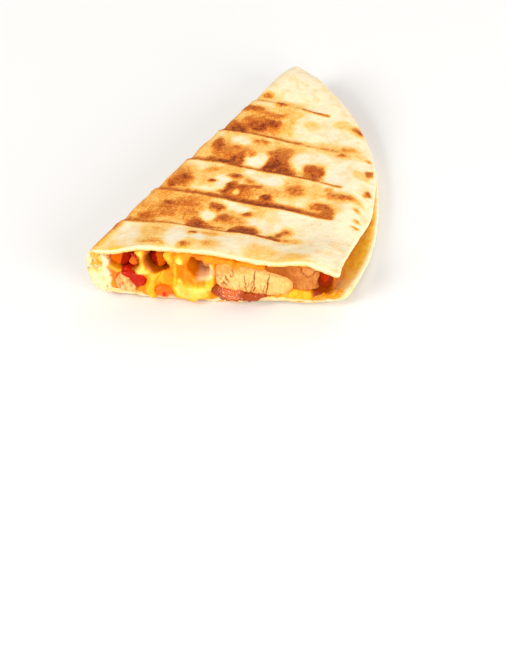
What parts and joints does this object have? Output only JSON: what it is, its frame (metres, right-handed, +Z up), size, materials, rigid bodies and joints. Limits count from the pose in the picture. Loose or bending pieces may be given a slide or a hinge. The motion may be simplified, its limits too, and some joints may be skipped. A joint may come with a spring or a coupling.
{
  "type": "quesadilla wedge",
  "caption": "Grilled quesadilla wedge: a folded, ridge-grilled flour tortilla cut across, with melted cheese, chicken and tomato showing at the cut.",
  "frame": {"origin": "centre of the bounding box at the height of the flat underside", "axes": "+X along the cut front from the folded edge towards the open rim, +Y away from the cut front towards the tip, +Z up from the flat underside"},
  "size_m": [0.0974, 0.1172, 0.024],
  "materials": {
    "tortilla": "matte",
    "cheese": "glossy",
    "chicken": "satin",
    "tomato": "wet",
    "pepper": "wet"
  },
  "bodies": {
    "root": {"tortilla": "tortilla", "melted_cheese": "cheese", "chicken_strip": "chicken", "chicken_slice": "chicken", "chicken_piece": "chicken", "chicken_chunk": "chicken", "tomato_chunk": "tomato", "tomato_wedge": "tomato", "tomato_piece": "tomato", "tomato_bit": "tomato", "tomato_corner": "tomato", "pepper_strip": "pepper", "pepper_piece": "pepper"}
  },
  "joints": []
}
